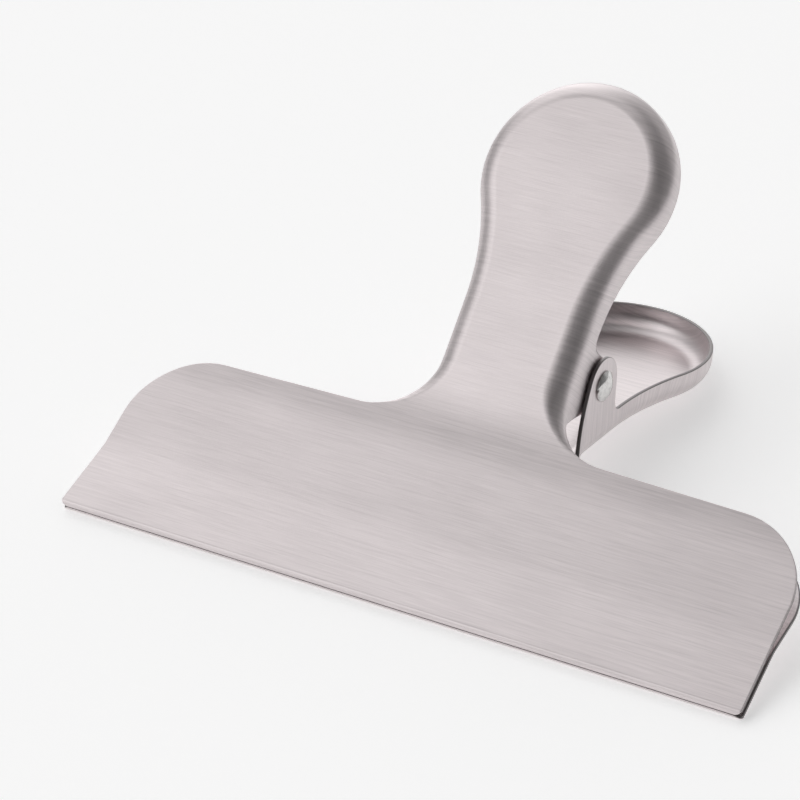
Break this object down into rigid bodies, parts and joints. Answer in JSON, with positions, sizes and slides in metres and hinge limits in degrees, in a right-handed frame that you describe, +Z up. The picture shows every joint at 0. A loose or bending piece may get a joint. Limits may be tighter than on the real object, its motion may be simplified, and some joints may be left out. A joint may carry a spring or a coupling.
{
  "type": "bag clip",
  "caption": "Wide sprung bag clip of two stamped steel shells: long creased jaws, waisted neck, rounded thumb handles, cross pin and torsion spring.",
  "frame": {"origin": "centre of the bounding box in X and Y, on the surface that the clip lies on", "axes": "+X along the gripping edge, -Y out of the jaws, +Y towards the handles, +Z up; the clip lies on its back on the lower jaw edge and the tip of the lower handle"},
  "size_m": [0.15, 0.1172, 0.0703],
  "materials": {
    "shell_steel": "brushed along the jaw's long edge",
    "pin_steel": "bright, slightly worn rivet heads",
    "spring_wire": "drawn spring wire"
  },
  "bodies": {
    "lower_half": {"lower_shell": "shell_steel", "pivot_pin": "pin_steel", "torsion_spring": "spring_wire"},
    "upper_half": {"upper_shell": "shell_steel"}
  },
  "joints": [
    {"name": "jaw_hinge", "type": "hinge", "parent": "lower_half", "child": "upper_half", "pos_m": [0, 0.00257, 0.02143], "axis": [-1, 0, 0], "range_deg": [0, 62], "stiffness_Nm_per_rad": 0.6, "springref_deg": -34.38, "deforming": ["torsion_spring"]}
  ]
}
